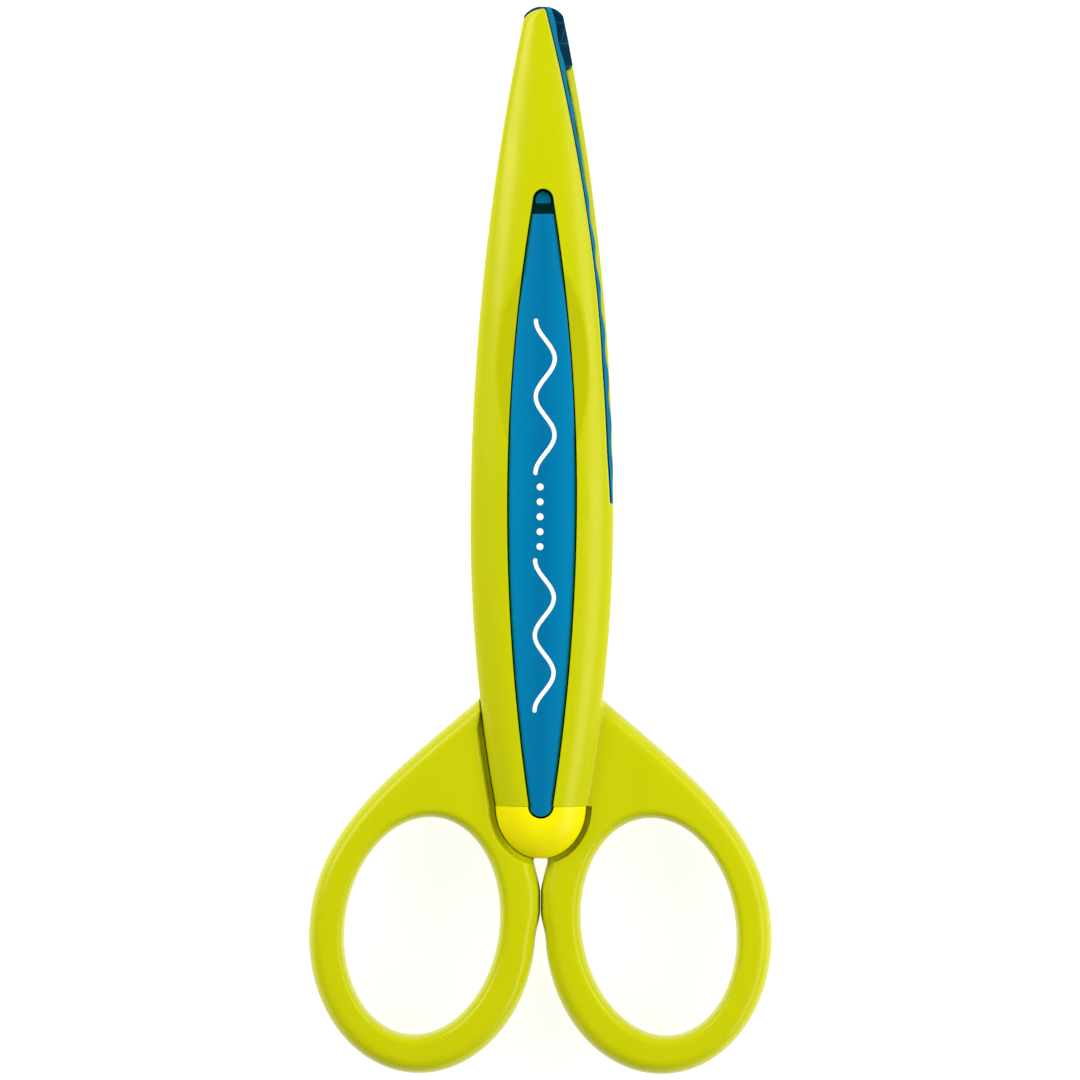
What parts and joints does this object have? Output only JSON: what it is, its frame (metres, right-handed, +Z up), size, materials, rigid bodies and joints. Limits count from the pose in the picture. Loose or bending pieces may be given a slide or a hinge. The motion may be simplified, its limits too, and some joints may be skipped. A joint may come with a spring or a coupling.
{
  "type": "decorative edge scissors",
  "caption": "Craft scissors that cut a wavy edge: leaf-shaped lime levers with finger rings, clip-in blue wave blades, and a sprung yellow release button behind each panel.",
  "frame": {"origin": "on the surface the scissors lie on, below the middle of their length and width", "axes": "+Y from the finger rings to the tip, +Z up out of the front lever's outer face, +X towards the front lever's own ring"},
  "size_m": [0.0716, 0.1647, 0.015],
  "materials": {
    "lime_plastic": "glossy moulded lime green",
    "blue_resin": "satin glass-filled blue resin",
    "yellow_plastic": "glossy moulded yellow",
    "steel": "bright zinc plated",
    "nylon": "natural nylon"
  },
  "bodies": {
    "back_lever": {"back_handle": "lime_plastic", "back_blade": "blue_resin", "back_panel": "blue_resin", "back_button_spring": "steel", "back_pivot_washer": "steel", "pivot_rivet": "steel", "centre_washer": "nylon"},
    "front_lever": {"front_handle": "lime_plastic", "front_blade": "blue_resin", "front_panel": "blue_resin", "front_button_spring": "steel", "front_pivot_washer": "steel"},
    "front_button": {"front_release_button": "yellow_plastic"},
    "back_button": {"back_release_button": "yellow_plastic"}
  },
  "joints": [
    {"name": "scissor_pivot", "type": "hinge", "parent": "back_lever", "child": "front_lever", "pos_m": [0, -0.01693, 0.0075], "axis": [0, 0, 1], "range_deg": [0, 50]},
    {"name": "front_button_press", "type": "slide", "parent": "front_lever", "child": "front_button", "axis": [0, 0, -1], "range_m": [0, 0.001], "stiffness_N_per_m": 300, "springref_m": -0.0003, "deforming": ["front_button_spring"]},
    {"name": "back_button_press", "type": "slide", "parent": "back_lever", "child": "back_button", "axis": [0, 0, 1], "range_m": [0, 0.001], "stiffness_N_per_m": 300, "springref_m": -0.0003, "deforming": ["back_button_spring"]}
  ]
}
